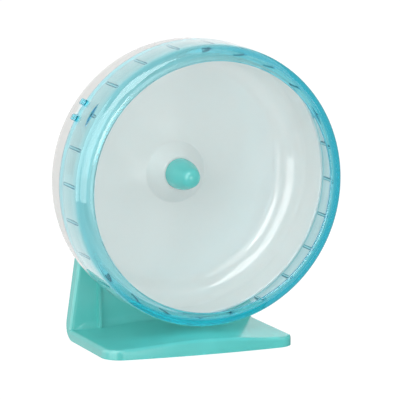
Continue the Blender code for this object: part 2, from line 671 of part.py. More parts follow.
def make_stand(where, cutters, finish):
    """L-shaped moulding: skin in front and on top, webs behind and below, housing for the bolt."""
    half = STAND_HALF_FRONT + OVERRUN
    top = AXLE_HEIGHT + UPRIGHT_RISE + OVERRUN
    far_front = -OVERRUN
    far_back = STAND_BACK + 2 * OVERRUN
    stand = add_shape("stand", base_body(), where, finish)
    corners = upright_corners(0)
    outline = both_sides(corners, [(corners[-1][0][0], STAND_WALL)])
    upright = front_plate("upright", outline, UPRIGHT_FRONT, far_back, cutters, STAND_EDGE)
    combine(stand, upright, "UNION")
    combine(stand, side_plate("stand_side_view", heel_outline(), -half, half, cutters), "INTERSECT")

    hollow = bmesh.new()
    for bay in range(-WEB_PAIRS - 1, WEB_PAIRS + 1):
        near = bay * WEB_PITCH + WEB_THICKNESS / 2
        far = (bay + 1) * WEB_PITCH - WEB_THICKNESS / 2
        lofted(hollow, [(x, cavity_section(x)) for x in (near, (near + far) / 2, far)])
    bmesh.ops.recalc_face_normals(hollow, faces=hollow.faces)
    bays = add_shape("stand_bays", hollow, cutters)
    corners = upright_corners(STAND_WALL)
    outline = both_sides(corners, [(half, corners[-1][0][1]), (half, -OVERRUN)])
    inner_front = front_plate("bays_front_view", outline, far_front, far_back, cutters)
    combine(bays, inner_front, "INTERSECT")
    inner_plan = plan_plate("bays_plan_view", plan_outline(STAND_WALL), -2 * OVERRUN, top, cutters)
    combine(bays, inner_plan, "INTERSECT")
    combine(bays, axle_disc("housing_keep", HOUSING_RADIUS, UPRIGHT_FRONT, far_back, cutters))
    combine(stand, bays)

    combine(stand, axle_disc("housing", HOUSING_RADIUS, HOUSING_FRONT, UPRIGHT_FRONT + STAND_WALL / 2,
                             cutters, back_radius=HOUSING_FOOT_RADIUS), "UNION")
    combine(stand, axle_disc("bolt_hole", BEARING_BORE, HOUSING_FRONT - OVERRUN, far_back, cutters))
    combine(stand, axle_disc("head_pocket", HEAD_POCKET_RADIUS, HOUSING_SEAT, far_back, cutters))
    for index, x in enumerate((-GUSSET_OFFSET, 0, GUSSET_OFFSET)):
        foot = crown(x) - STAND_WALL / 2
        root = UPRIGHT_FRONT + STAND_WALL / 2
        outline = [(root, foot), (UPRIGHT_FRONT - GUSSET_DEPTH, foot), (root, foot + GUSSET_HEIGHT)]
        half_width = GUSSET_THICKNESS / 2
        gusset = side_plate(f"gusset_{index + 1}", outline, x - half_width, x + half_width, cutters)
        combine(stand, gusset, "UNION")
    return finished(stand)


def hang_on(name, pieces, where):
    """Parents moving pieces to an empty on the axle."""
    pivot = bpy.data.objects.new(name, None)
    where.objects.link(pivot)
    pivot.location = (0, 0, AXLE_HEIGHT)
    bpy.context.view_layer.update()
    for piece in pieces:
        piece.parent = pivot
        piece.matrix_parent_inverse = pivot.matrix_world.inverted()


def main():
    clear_scene()
    parts = new_collection("hamster_wheel")
    cutters = new_collection("cutters")
    teal = material("teal_plastic", (0.20, 0.62, 0.58), 0.25)
    cyan = material("clear_cyan_plastic", (0.25, 0.75, 0.82), 0.08, alpha=0.45)
    milky = material("milky_plastic", (0.83, 0.87, 0.88), 0.2, alpha=0.9)
    steel = material("bearing_steel", (0.62, 0.63, 0.65), 0.2, 1.0)
    zinc = material("zinc_plate", (0.70, 0.71, 0.70), 0.35, 1.0)
    brass = material("cage_brass", (0.72, 0.58, 0.32), 0.35, 1.0)

    make_stand(parts, cutters, teal)
    make_fasteners(parts, cutters, steel, zinc)
    wheel = [make_dish(parts, cutters, milky), make_ring(parts, cutters, cyan), make_knob(parts, teal)]
    for name, front in (("front_bearing", FRONT_BEARING), ("rear_bearing", REAR_BEARING)):
        orbiting = make_bearing(name, front, wheel, parts, cutters, steel, brass)
        hang_on(f"{name}_orbit", orbiting, parts)
    hang_on("wheel_axis", wheel, parts)


main()
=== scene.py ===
"""Looks of a hamster wheel: a milky dish and a clear ring on a teal stand.

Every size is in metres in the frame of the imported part. Depths are measured backwards from the
wheel's front plane, and the wheel turns about a line parallel to Y.
"""

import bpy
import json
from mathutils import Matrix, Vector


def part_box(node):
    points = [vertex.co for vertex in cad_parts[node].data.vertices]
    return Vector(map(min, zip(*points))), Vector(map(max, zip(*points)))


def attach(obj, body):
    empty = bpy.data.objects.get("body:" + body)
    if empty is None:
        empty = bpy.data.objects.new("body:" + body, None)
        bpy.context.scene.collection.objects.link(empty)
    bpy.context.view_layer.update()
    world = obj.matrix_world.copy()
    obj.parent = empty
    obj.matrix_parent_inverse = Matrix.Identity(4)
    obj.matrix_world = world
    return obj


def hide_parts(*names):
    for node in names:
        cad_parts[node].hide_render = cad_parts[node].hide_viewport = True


bl_info = {
    "name": "Hamster Wheel",
    "version": (1, 0, 0),
    "blender": (4, 5, 0),
    "location": "View3D > Sidebar > Hamster Wheel",
    "description": "Dresses the packed running wheel with its mouldings, finishes and studio",
    "category": "Add Mesh",
}

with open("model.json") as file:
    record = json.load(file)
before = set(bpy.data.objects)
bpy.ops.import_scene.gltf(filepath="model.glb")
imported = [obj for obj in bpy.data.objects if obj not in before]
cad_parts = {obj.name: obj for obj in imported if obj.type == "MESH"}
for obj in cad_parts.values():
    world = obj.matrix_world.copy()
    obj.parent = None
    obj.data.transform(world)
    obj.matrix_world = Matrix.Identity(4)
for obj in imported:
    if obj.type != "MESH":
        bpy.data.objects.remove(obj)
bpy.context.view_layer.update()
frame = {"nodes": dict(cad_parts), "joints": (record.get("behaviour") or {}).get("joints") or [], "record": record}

import json
import math

import bpy
from bpy.props import FloatProperty, FloatVectorProperty, IntProperty, PointerProperty
from mathutils import Matrix, Vector

RING_LOW, RING_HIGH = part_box("clear_ring")
KNOB_LOW, KNOB_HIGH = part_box("knob")
BOLT_LOW, BOLT_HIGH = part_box("axle_bolt")

FRONT_Y = RING_LOW.y
AXLE_HEIGHT = frame["joints"][0]["pos_m"][2]
AXLE = Vector((0, FRONT_Y, AXLE_HEIGHT))
JOIN = 0.000002          # points nearer than this are one
BITE = 0.0006            # how deep an added feature reaches into its carrier
OVERRUN = 0.004          # how far a cutter runs past what it cuts
FIT = 0.00015            # gap between pieces that seat on each other
QUARTER_X = Matrix.Rotation(math.pi / 2, 4, "X")
QUARTER_Z = Matrix.Rotation(math.pi / 2, 4, "Z")

# Latches and rungs, counted round the wheel from +X towards +Z
RUNG_TURN = math.radians(12.5)
LATCH_TURNS = [math.radians(27.5 + 120 * index) for index in range(3)]

# Where painted shade deepens the surface colour of the clear ring and darkens the dish's rim
CUT_SHARE = 0.46         # half the thickness that the ring's rear edge takes, as a share of its wall
CUT_MATT = 0.10          # how much rougher that edge is
BAND_SHARE = 0.45        # how much of the painted edge shade the ring's skin takes over the dish's spigot
SKIN_MARGIN = 0.0002     # how far outside the running wall its skin may lie
SIDE_MIDDLE = 0.40       # middle of the painted shade on a rung's side, in rung widths from its centre line
SIDE_HALF = 0.20         # half the breadth of that painted shade, in rung widths
SIDE_MARGIN = 0.00004    # how far inside the running wall a rung starts
SIDE_DEPTH = 0.0245      # depth of the middle of the stretch where the rungs' sides carry painted shade
SIDE_REACH = 0.0108      # half the length of that stretch
RIM_REACH = 0.0009       # how far behind the front of the seat the dish's rim is darker as painted shade


class HamsterWheelSizes(bpy.types.PropertyGroup):
    """Sizes of the mouldings that show."""

    wheel_radius: FloatProperty(name="Wheel radius", description="Outside of the running wall",
                                default=(RING_HIGH.x - RING_LOW.x) / 2, unit="LENGTH")
    lip_reach: FloatProperty(name="Lip reach", description="How far the front lip rolls in",
                             default=0.0115, unit="LENGTH")
    lip_thickness: FloatProperty(name="Lip thickness", description="Thickness of the rolled lip",
                                 default=0.0024, unit="LENGTH")
    lip_taper: FloatProperty(name="Lip taper", description="Depth at which the lip has thinned out",
                             default=0.0200, unit="LENGTH")
    ring_depth: FloatProperty(name="Ring depth", description="Depth of the seam behind the front plane",
                              default=0.0435, unit="LENGTH")
    ring_wall: FloatProperty(name="Ring wall", description="Thickness of the running wall",
                             default=0.0013, unit="LENGTH")
    seat: FloatProperty(name="Seat", description="How far the ring's rear reaches over the dish's spigot",
                        default=0.0062, unit="LENGTH")
    slot_length: FloatProperty(name="Slot length", description="Length of a latch slot along the rim",
                               default=0.0190, unit="LENGTH")
    slot_width: FloatProperty(name="Slot width", description="Width of a latch slot",
                              default=0.0022, unit="LENGTH")
    # The lens round a slot is painted shade, a deeper surface colour of the ring
    slot_frame: FloatProperty(name="Slot frame", description="Width of the deep-tinted lens round a slot",
                              default=0.0066, unit="LENGTH")
    slot_depth: FloatProperty(name="Slot depth", description="Depth of the slots behind the front plane",
                              default=0.0198, unit="LENGTH")
    rung_count: IntProperty(name="Rungs", description="Rungs round the running wall", default=24)
    rung_width: FloatProperty(name="Rung width", description="Width of one rung",
                              default=0.0024, unit="LENGTH")
    rung_height: FloatProperty(name="Rung height", description="How far a rung stands in",
                               default=0.0014, unit="LENGTH")
    dish_step: FloatProperty(name="Dish step", description="Step from the ring's outside in to the dish",
                             default=0.0008, unit="LENGTH")
    dish_wall: FloatProperty(name="Dish wall", description="Thickness of the dish",
                             default=0.0022, unit="LENGTH")
    dish_corner: FloatProperty(name="Dish corner", description="Radius of the dish's back corner",
                               default=0.022, unit="LENGTH")
    knob_radius: FloatProperty(name="Knob radius", description="Radius of the cap at its foot",
                               default=(KNOB_HIGH.x - KNOB_LOW.x) / 2, unit="LENGTH")
    stand_half: FloatProperty(name="Stand half width", description="Half the width of the base in front",
                              default=0.0755, unit="LENGTH")
    stand_edge: FloatProperty(name="Stand edge", description="Rounding of the stand's outer edges",
                              default=0.0028, unit="LENGTH")
    turn_steps: IntProperty(name="Facets", description="Facets round a large turned piece", default=192)


class HamsterWheelFinishes(bpy.types.PropertyGroup):
    """Colours and gloss of the finishes."""

    teal: FloatVectorProperty(name="Teal", description="Stand and cap", subtype="COLOR", size=3,
                              min=0, max=1, default=(0.115, 0.550, 0.515))
    milk: FloatVectorProperty(name="Milk", description="Dish", subtype="COLOR", size=3,
                              min=0, max=1, default=(0.705, 0.702, 0.686))
    tint: FloatVectorProperty(name="Tint", description="Light that is left after a long way in the ring",
                              subtype="COLOR", size=3, min=0, max=1, default=(0.0, 0.88, 0.965))
    tint_density: FloatProperty(name="Tint density", default=300.0,
                                description="How fast the ring's colour deepens, per metre")
    lip: FloatVectorProperty(name="Clear", description="Surface colour of the ring",
                             subtype="COLOR", size=3, min=0, max=1, default=(0.97, 0.995, 1.0))
    # The rungs' sides carry painted shade, a dark surface colour
    rung_side_painted_shade: FloatVectorProperty(name="Rung sides", description="Surface colour of the rungs' sides",
                                   subtype="COLOR", size=3, min=0, max=1, default=(0.00, 0.17, 0.23))
    # Painted shade: a deeper surface colour on the ring's rear edge, round its slots and over the dish's spigot
    cut: FloatVectorProperty(name="Cut edges", description="Surface colour of rear edge, slots and seat",
                             subtype="COLOR", size=3, min=0, max=1, default=(0.25, 0.70, 0.74))
    steel: FloatVectorProperty(name="Steel", description="Bearing races, shields and balls",
                               subtype="COLOR", size=3, min=0, max=1, default=(0.560, 0.570, 0.585))
    zinc: FloatVectorProperty(name="Zinc", description="Bolt, nuts and washers",
                              subtype="COLOR", size=3, min=0, max=1, default=(0.620, 0.640, 0.650))
    brass: FloatVectorProperty(name="Brass", description="Ball cages", subtype="COLOR", size=3,
                               min=0, max=1, default=(0.620, 0.430, 0.170))


class HamsterWheelStudio(bpy.types.PropertyGroup):
    """Camera and light."""

    lens: FloatProperty(name="Lens", description="Focal length", default=429.85, subtype="DISTANCE_CAMERA")
    distance: FloatProperty(name="Distance", description="Camera to the aim",
                            default=3.5035, unit="LENGTH")
    azimuth: FloatProperty(name="Azimuth", description="Turn of the camera round the wheel",
                           default=math.radians(-21.97), subtype="ANGLE")
    elevation: FloatProperty(name="Elevation", description="Height of the camera as an angle",
                             default=math.radians(9.95), subtype="ANGLE")
    aim_right: FloatProperty(name="Aim right", description="Aim, right of the wheel's front centre",
                             default=-0.01017, unit="LENGTH")
    aim_up: FloatProperty(name="Aim up", description="Aim, above the wheel's front centre",
                          default=-0.00897, unit="LENGTH")
    ambient: FloatProperty(name="Ambient", description="Strength of the light from all round",
                           default=0.80)
    backdrop: FloatProperty(name="Backdrop", description="Strength of what shows through clear plastic",
                            default=0.62)
    key: FloatProperty(name="Key", description="Power of the large lamp at the left", default=8.8,
                       subtype="POWER", unit="POWER")
    top: FloatProperty(name="Top", description="Power of the lamp overhead", default=3.2,
                       subtype="POWER", unit="POWER")
    front: FloatProperty(name="Front", description="Power of the low lamp in front", default=6.2,
                         subtype="POWER", unit="POWER")
    fill: FloatProperty(name="Fill", description="Power of the lamp at the right", default=2.4,
                        subtype="POWER", unit="POWER")


def deselect():
    """Leaves edit mode and selects nothing."""
    if bpy.context.object and bpy.context.object.mode != "OBJECT":
        bpy.ops.object.mode_set(mode="OBJECT")
    bpy.ops.object.select_all(action="DESELECT")


def pick(*objs):
    """Selects these objects and makes the first one active."""
    deselect()
    for obj in objs:
        obj.select_set(True)
    bpy.context.view_layer.objects.active = objs[0]


def edit():
    """Takes the active object into edit mode."""
    bpy.ops.object.mode_set(mode="EDIT")


def begin(name):
    """A new empty mesh in edit mode, which started as a small plane."""
    deselect()
    bpy.ops.mesh.primitive_plane_add(size=0.001, location=(0, 0, 0))
    bpy.context.object.name = name
    edit()
    bpy.ops.mesh.select_mode(type="VERT")
    bpy.ops.mesh.select_all(action="SELECT")
    bpy.ops.mesh.delete(type="VERT")
    return bpy.context.object


def draw(points, closed=True):
    """In edit mode: a line of edges, extruded on from one vertex."""
    bpy.ops.mesh.select_all(action="DESELECT")
    bpy.ops.mesh.primitive_plane_add(size=0.001, location=points[0])
    bpy.ops.mesh.merge(type="CENTER")
    line = list(points) + ([points[0]] if closed else [])
    for near, far in zip(line, line[1:]):
        bpy.ops.mesh.extrude_vertices_move(TRANSFORM_OT_translate={"value": Vector(far) - Vector(near)})


def choose(kind, test):
    """In edit mode: selects the faces or edges for which test(mesh, item) holds."""
    bpy.ops.mesh.select_all(action="DESELECT")
    bpy.ops.mesh.select_mode(type=kind)
    bpy.ops.object.mode_set(mode="OBJECT")
    mesh = bpy.context.object.data
    for item in mesh.polygons if kind == "FACE" else mesh.edges:
        item.select = test(mesh, item)
    edit()


def merge():
    """In edit mode: merges doubled points and selects everything."""
    bpy.ops.mesh.select_mode(type="VERT")
    bpy.ops.mesh.select_all(action="SELECT")
    bpy.ops.mesh.remove_doubles(threshold=JOIN)
    bpy.ops.mesh.select_all(action="SELECT")


def clean():
    """In edit mode: merges doubled points and turns all faces outwards."""
    merge()
    bpy.ops.mesh.normals_make_consistent(inside=False)


def done(smooth_angle=math.radians(30)):
    """Leaves edit mode and shades the active object smooth between its sharp edges."""
    deselect()
    obj = bpy.context.view_layer.objects.active
    obj.select_set(True)
    bpy.ops.object.shade_smooth_by_angle(angle=smooth_angle)
    return obj


def combine(obj, other, operation="DIFFERENCE"):
    """Joins or cuts one piece with another, which is used up."""
    pick(obj)
    bpy.ops.object.modifier_add(type="BOOLEAN")
    modifier = obj.modifiers[-1]
    modifier.operation = operation
    modifier.solver = "EXACT"
    modifier.object = other
    bpy.ops.object.modifier_apply(modifier=modifier.name)
    pick(other)
    bpy.ops.object.delete()


def place(obj, matrix):
    """Puts an object where the matrix says and applies that to its mesh."""
    obj.matrix_world = matrix
    pick(obj)
    bpy.ops.object.transform_apply(location=True, rotation=True, scale=True)
    return obj


def copies(obj, matrices):
    """Copies of an object that lies at the origin, joined into one."""
    made = []
    for matrix in matrices:
        pick(obj)
        bpy.ops.object.duplicate()
        made.append(place(bpy.context.object, matrix))
    pick(obj)
    bpy.ops.object.delete()
    pick(*made)
    if len(made) > 1:
        bpy.ops.object.join()
    return bpy.context.object


def around(angle, radius, depth):
    """A place on the wheel: local x points outwards, y along the rim and z forwards."""
    on_axle = Matrix.Translation((0, FRONT_Y + depth, AXLE_HEIGHT)) @ QUARTER_X
    return on_axle @ Matrix.Rotation(angle, 4, "Z") @ Matrix.Translation((radius, 0, 0))


def arc(centre, radius, start, end, steps):
    """Points along an arc between two angles in degrees, both ends included."""
    points = []
    for step in range(steps + 1):
        angle = math.radians(start + (end - start) * step / steps)
        points.append((centre[0] + radius * math.cos(angle), centre[1] + radius * math.sin(angle)))
    return points


def rounded(corners, steps):
    """An outline with rounded corners, from (point, radius) pairs in order round it."""
    outline = []
    for index, (corner, radius) in enumerate(corners):
        corner = Vector(corner)
        if not radius:
            outline.append(tuple(corner))
            continue
        before = (Vector(corners[index - 1][0]) - corner).normalized()
        after = (Vector(corners[(index + 1) % len(corners)][0]) - corner).normalized()
        half = before.angle(after) / 2
        centre = corner + (before + after).normalized() * radius / math.sin(half)
        reach = radius / math.tan(half)
        first = corner + before * reach - centre
        last = corner + after * reach - centre
        outline += [tuple(centre + first.slerp(last, step / steps) * radius) for step in range(steps + 1)]
    return outline


def turned(name, profile, steps, closed=True):
    """A piece spun about the axle from a (radius, depth) profile."""
    begin(name)
    draw([AXLE + Vector((radius, depth, 0)) for radius, depth in profile], closed)
    bpy.ops.mesh.select_all(action="SELECT")
    bpy.ops.mesh.spin(steps=steps, angle=math.tau, center=AXLE, axis=(0, 1, 0))
    clean()
    return done()


def block(name, size, bevel, segments):
    """A box at the origin with its edges bevelled."""
    deselect()
    bpy.ops.mesh.primitive_cube_add(size=1)
    obj = bpy.context.object
    obj.name = name
    obj.scale = size
    bpy.ops.object.transform_apply(location=False, rotation=False, scale=True)
    edit()
    bpy.ops.mesh.select_all(action="SELECT")
    bpy.ops.mesh.bevel(offset=bevel, segments=segments, affect="EDGES")
    return done()


def plate(name, outline, low, high):
    """An outline in the XY plane, filled and extruded along Z."""
    begin(name)
    draw([Vector((x, y, low)) for x, y in outline])
    merge()
    bpy.ops.mesh.edge_face_add()
    bpy.ops.mesh.extrude_region_move(TRANSFORM_OT_translate={"value": (0, 0, high - low)})
    clean()
    return done()


# Where a plate drawn in the XY plane is turned, by the side from which its outline is seen
FROM_ABOVE = Matrix.Translation((0, FRONT_Y, 0))
FROM_FRONT = FROM_ABOVE @ QUARTER_X
FROM_SIDE = FROM_ABOVE @ QUARTER_Z @ QUARTER_X


def front_plate(name, outline, front, back):
    """An outline seen from the front, (x, z), between two depths."""
    return place(plate(name, outline, -back, -front), FROM_FRONT)


def side_plate(name, outline, left, right):
    """An outline seen from the side, (depth, z), between two places across."""
    return place(plate(name, outline, left, right), FROM_SIDE)


def plan_plate(name, outline, low, high):
    """An outline seen from above, (x, depth), between two heights."""
    return place(plate(name, outline, low, high), FROM_ABOVE)


def drum(name, radius, front, back, steps=96, front_radius=None):
    """A round plug on the axle between two depths, coned where its front radius is given."""
    profile = [(0, front), (front_radius or radius, front), (radius, back), (0, back)]
    return turned(name, profile, steps, closed=False)


def dress(obj, slot, body, *nodes):
    """Gives a finished piece its material and body, and hides the frame nodes that it stands for."""
    obj.data.materials.clear()
    obj.data.materials.append(finish(slot))
    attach(obj, body)
    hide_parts(*nodes)


class NodeMaker:
    """Adds nodes to the tree of a material or of the world."""

    def __init__(self, tree):
        self.nodes = tree.nodes
        self.link = tree.links.new
        self.place = None    # where a point is in object space, in a material

    def fill(self, node, inputs):
        """Sets or links inputs of a node by name or number; a colour is given without its alpha."""
        for name, value in inputs.items():
            socket = node.inputs[name]
            if isinstance(value, bpy.types.NodeSocket):
                self.link(value, socket)
            elif socket.type == "RGBA":
                socket.default_value = (*value, 1)
            else:
                socket.default_value = value

    def add(self, kind, inputs):
        """A new node with these inputs."""
        made = self.nodes.new("ShaderNode" + kind)
        self.fill(made, inputs)
        return made

    def maths(self, operation, *values):
        """A math node on numbers or sockets."""
        made = self.nodes.new("ShaderNodeMath")
        made.operation = operation
        self.fill(made, dict(enumerate(values)))
        return made.outputs[0]

    def noise(self, scale, detail, stretch=None):
        """A noise pattern in object space, stretched by a mapping where wanted."""
        place = self.place
        if stretch:
            place = self.add("Mapping", {"Vector": place, "Scale": stretch}).outputs["Vector"]
        return self.add("TexNoise", {"Vector": place, "Scale": scale, "Detail": detail}).outputs["Fac"]

    def spread(self, value, low, high):
        """Maps the middle part of a noise value on to a range."""
        ends = {"From Min": 0.3, "From Max": 0.7, "To Min": low, "To Max": high}
        return self.add("MapRange", {"Value": value, **ends}).outputs["Result"]

    def two_tone(self, value, colour, darker, lighter):
        """A colour that drifts between two shades of it with a noise value."""
        ramp = self.add("ValToRGB", {"Fac": value})
        for element, position, amount in zip(ramp.color_ramp.elements, (0.35, 0.65), (darker, lighter)):
            element.position = position
            element.color = (*shade(colour, amount), 1)
        return ramp.outputs["Color"]

    def mixed(self, factor, first, second):
        """A colour between two, each a tone or a socket."""
        made = self.nodes.new("ShaderNodeMix")
        made.data_type = "RGBA"
        self.fill(made, {"Factor": factor, "A": first, "B": second})
        return made.outputs["Result"]

    def bumps(self, *layers):
        """Stacked bumps of (height, strength, distance)."""
        below = {}
        for height, strength, distance in layers:
            made = self.add("Bump", {"Height": height, "Strength": strength, "Distance": distance, **below})
            below = {"Normal": made.outputs["Normal"]}
        return below["Normal"]

    def on_wheel(self):
        """Radius, turn and depth of a point on the wheel."""
        split = self.add("SeparateXYZ", {"Vector": self.place}).outputs
        across = split["X"]
        height = self.maths("SUBTRACT", split["Z"], AXLE_HEIGHT)
        square = self.maths("MULTIPLY", height, height)
        square = self.maths("MULTIPLY_ADD", across, across, square)
        turn = self.maths("ARCTAN2", height, across)
        depth = self.maths("SUBTRACT", split["Y"], FRONT_Y)
        return self.maths("SQRT", square), turn, depth


def shade(colour, amount):
    """A colour made darker or lighter by a factor."""
    return tuple(min(1.0, channel * amount) for channel in colour)


def new_material(name):
    """A new material, the maker of its nodes and its shader."""
    material = bpy.data.materials.new(name)
    material.use_nodes = True
    maker = NodeMaker(material.node_tree)
    maker.place = maker.add("TexCoord", {}).outputs["Object"]
    return material, maker, maker.nodes["Principled BSDF"]


def glossy_plastic(name, colour, roughness):
    """Opaque glossy moulding: pigment drift, flow marks and a fine moulded skin."""
    made, maker, shader = new_material(name)
    flow = maker.noise(22, 3, (1, 1, 0.35))
    handling = maker.noise(60, 4)
    waves = maker.noise(70, 1)
    skin = maker.noise(900, 2)
    maker.fill(shader, {
        "Base Color": maker.two_tone(flow, colour, 0.96, 1.04),
        "Roughness": maker.spread(handling, roughness * 0.8, roughness * 1.3),
        "IOR": 1.5,
        "Normal": maker.bumps((waves, 0.10, 0.0004), (skin, 0.05, 0.0001)),
    })
    return made


def latch_lens_shade_mask(maths, turn, depth, sizes):
    """1 in the lens-shaped frame of each latch slot, where painted shade deepens the ring's surface colour."""
    pitch = math.tau / len(LATCH_TURNS) / 2
    along = maths("PINGPONG", maths("SUBTRACT", turn, LATCH_TURNS[0]), pitch)
    share = maths("MULTIPLY", along, sizes.wheel_radius / (sizes.slot_length / 2))
    half = sizes.slot_frame / 2
    bow = maths("MULTIPLY", maths("MULTIPLY", share, share), half)
    across = maths("ABSOLUTE", maths("SUBTRACT", depth, sizes.slot_depth))
    return maths("LESS_THAN", maths("ADD", across, bow), half)


def rung_side_shade_mask(maths, radius, turn, depth, sizes):
    """1 on the long sides of the rungs, over the stretch where they carry painted shade."""
    inside = sizes.wheel_radius - sizes.ring_wall
    pitch = math.pi / sizes.rung_count
    from_rung = maths("PINGPONG", maths("SUBTRACT", turn, RUNG_TURN), pitch)
    beside = maths("COMPARE", from_rung, sizes.rung_width * SIDE_MIDDLE / inside,
                   sizes.rung_width * SIDE_HALF / inside)
    standing = maths("LESS_THAN", radius, inside - SIDE_MARGIN)
    stretch = maths("COMPARE", depth, SIDE_DEPTH, SIDE_REACH)
    return maths("MULTIPLY", beside, maths("MULTIPLY", standing, stretch))


def clear_plastic(name, looks, sizes):
    """Clear tinted moulding, with painted shade where light goes far in it: rear edge, slot lenses, spigot band,
    rungs' sides.
    """
    made, maker, shader = new_material(name)
    maths = maker.maths
    radius, turn, depth = maker.on_wheel()
    wall_middle = sizes.wheel_radius - sizes.ring_wall / 2
    # Masks of painted shade, a deeper surface colour: the rear edge, which is also rougher, the band over the
    # dish's spigot and the slot lenses
    in_wall = maths("COMPARE", radius, wall_middle, sizes.ring_wall * CUT_SHARE)
    seat = maths("GREATER_THAN", depth, sizes.ring_depth - sizes.seat)
    cut = maths("MULTIPLY", in_wall, seat)
    skin = maths("LESS_THAN", radius, sizes.wheel_radius + SKIN_MARGIN)
    painted_spigot_shade = maths("MULTIPLY", maths("MULTIPLY", seat, skin), BAND_SHARE)
    lens = latch_lens_shade_mask(maths, turn, depth, sizes)
    lens = maths("MULTIPLY", lens, maths("SUBTRACT", 1.0, in_wall))
    painted_shade = maths("MAXIMUM", maths("MAXIMUM", cut, painted_spigot_shade), lens)
    # Painted shade: a dark surface colour on the rungs' sides
    side = rung_side_shade_mask(maths, radius, turn, depth, sizes)
    handling = maker.spread(maker.noise(50, 4), 0.015, 0.06)
    waves = maker.noise(45, 1)
    maker.fill(shader, {
        "Base Color": maker.mixed(side, maker.mixed(painted_shade, looks.lip, looks.cut), looks.rung_side_painted_shade),
        "Transmission Weight": 1.0,
        "IOR": 1.57,
        "Roughness": maths("MULTIPLY_ADD", cut, CUT_MATT, handling),
        "Normal": maker.bumps((waves, 0.02, 0.0005)),
    })
    absorption = maker.add("VolumeAbsorption", {"Color": looks.tint, "Density": looks.tint_density})
    maker.fill(maker.nodes["Material Output"], {"Volume": absorption.outputs["Volume"]})
    return made


def milky_plastic(name, colour, sizes):
    """Milky translucent moulding: light spreads in its wall under a glossy skin, and its rim is darker as painted
    shade.
    """
    made, maker, shader = new_material(name)
    cloud = maker.two_tone(maker.noise(14, 3), colour, 0.985, 1.01)
    depth = maker.on_wheel()[-1]
    # Painted shade: the dish's rim inside the ring is darker
    rim = maker.maths("LESS_THAN", depth, sizes.ring_depth - sizes.seat + RIM_REACH)
    waves = maker.noise(38, 1)
    skin = maker.noise(700, 2)
    maker.fill(shader, {
        "Base Color": maker.mixed(rim, cloud, shade(colour, 0.75)),
        "Subsurface Weight": 0.7,
        "Subsurface Radius": (0.9, 1.0, 1.0),
        "Subsurface Scale": 0.004,
        "IOR": 1.5,
        "Roughness": maker.spread(maker.noise(40, 4), 0.06, 0.11),
        "Normal": maker.bumps((waves, 0.10, 0.0005), (skin, 0.04, 0.0001)),
    })
    return made


def metal(name, colour, roughness, grain):
    """Bare or plated metal with fine marks that run round the axle."""
    made, maker, shader = new_material(name)
    patch = maker.noise(300, 3)
    marks = maker.noise(500, 3, (1, 6, 1))
    maker.fill(shader, {
        "Base Color": maker.two_tone(patch, colour, 0.92, 1.05),
        "Metallic": 1.0,
        "Roughness": maker.spread(marks, roughness * 0.7, roughness * 1.4),
        "Normal": maker.bumps((marks, grain, 0.00005)),
    })
    return made


FINISHES = {}


def finish(slot):
    """The material of a slot, made once."""
    if slot not in FINISHES:
        looks = bpy.context.scene.hamster_wheel_finishes
        sizes = bpy.context.scene.hamster_wheel_sizes
        if slot == "teal_plastic":
            made = glossy_plastic(slot, looks.teal, 0.16)
        elif slot == "clear_cyan_plastic":
            made = clear_plastic(slot, looks, sizes)
        elif slot == "milky_plastic":
            made = milky_plastic(slot, looks.milk, sizes)
        elif slot == "bearing_steel":
            made = metal(slot, looks.steel, 0.18, 0.10)
        elif slot == "zinc_plate":
            made = metal(slot, looks.zinc, 0.32, 0.25)
        else:
            made = metal(slot, looks.brass, 0.35, 0.20)
        FINISHES[slot] = made
    return FINISHES[slot]


